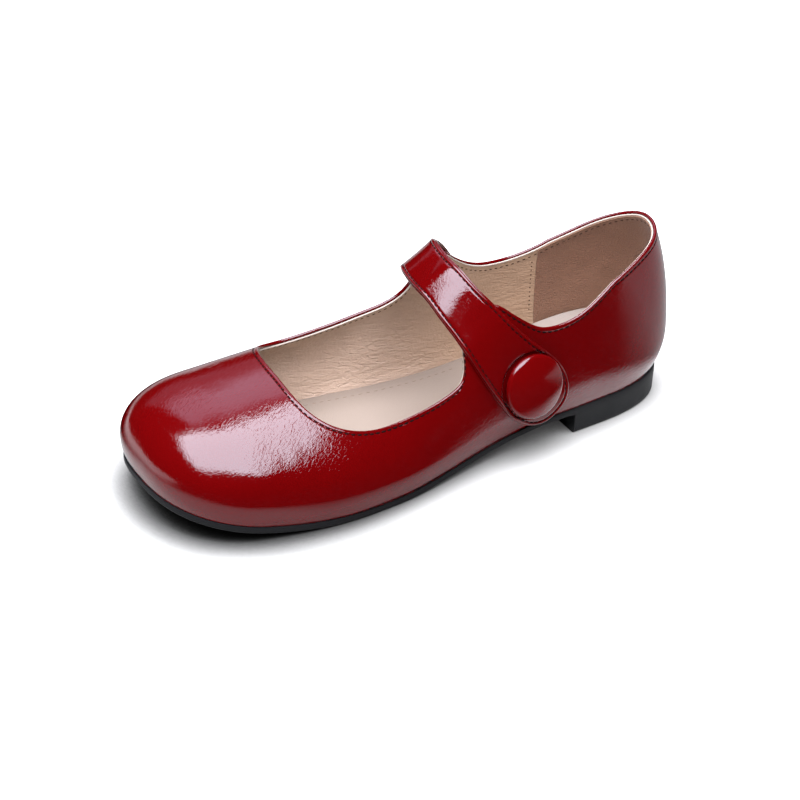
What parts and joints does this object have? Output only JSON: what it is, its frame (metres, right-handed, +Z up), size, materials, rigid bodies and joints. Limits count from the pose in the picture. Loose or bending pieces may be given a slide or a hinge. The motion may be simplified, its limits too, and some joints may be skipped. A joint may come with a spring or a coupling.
{
  "type": "mary jane shoe",
  "caption": "Round-toed flat mary jane shoe with an open throat, one strap closed by a large covered button, a thin sole and a low heel.",
  "frame": {"origin": "centre of the shoe's bounding box on the ground plane, under the sole", "axes": "+Z up, +X from the toe to the heel, -Y towards the outer side with the button"},
  "size_m": [0.245, 0.0944, 0.0814],
  "materials": {
    "upper_leather": "glossy",
    "strap_leather": "glossy",
    "button_leather": "glossy",
    "insole_leather": "matte",
    "sole_rubber": "matte",
    "heel_rubber": "matte"
  },
  "bodies": {
    "root": {"upper": "upper_leather", "insole": "insole_leather", "outsole": "sole_rubber", "heel": "heel_rubber", "strap": "strap_leather", "button": "button_leather"}
  },
  "joints": []
}
